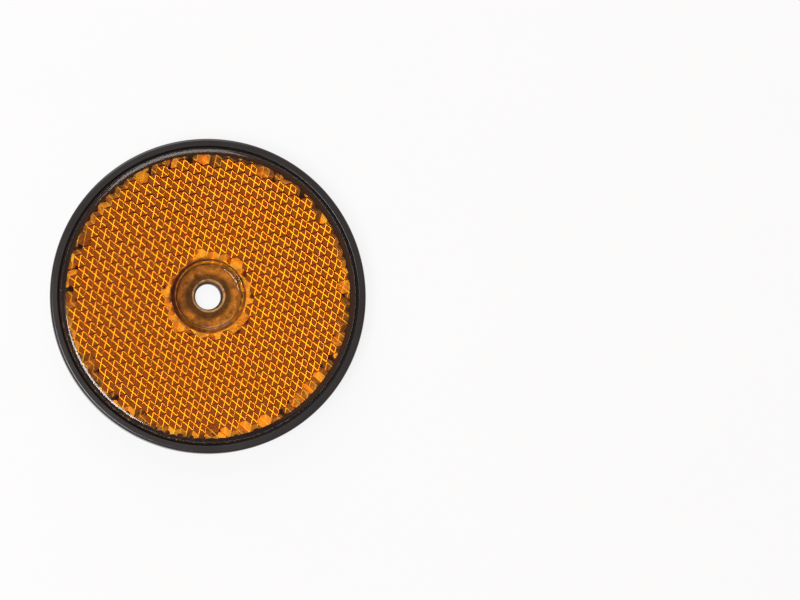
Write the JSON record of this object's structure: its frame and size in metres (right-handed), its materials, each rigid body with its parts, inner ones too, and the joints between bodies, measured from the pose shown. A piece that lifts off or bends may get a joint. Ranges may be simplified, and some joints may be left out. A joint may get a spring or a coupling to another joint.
{
  "type": "round reflector",
  "caption": "Round amber retroreflector with a cube-corner prism lens in a black dished base, held by a screw through its recessed centre.",
  "frame": {"origin": "centre of the rear face, on the reflector's axis", "axes": "+Z along the reflector's axis, out of the lens; +X and +Y in the rear face, +Y upwards in the picture"},
  "size_m": [0.07, 0.07, 0.0068],
  "materials": {
    "amber_acrylic": "clear, polished",
    "black_plastic": "fine matte moulding texture"
  },
  "bodies": {
    "root": {"lens": "amber_acrylic", "base": "black_plastic"}
  },
  "joints": []
}
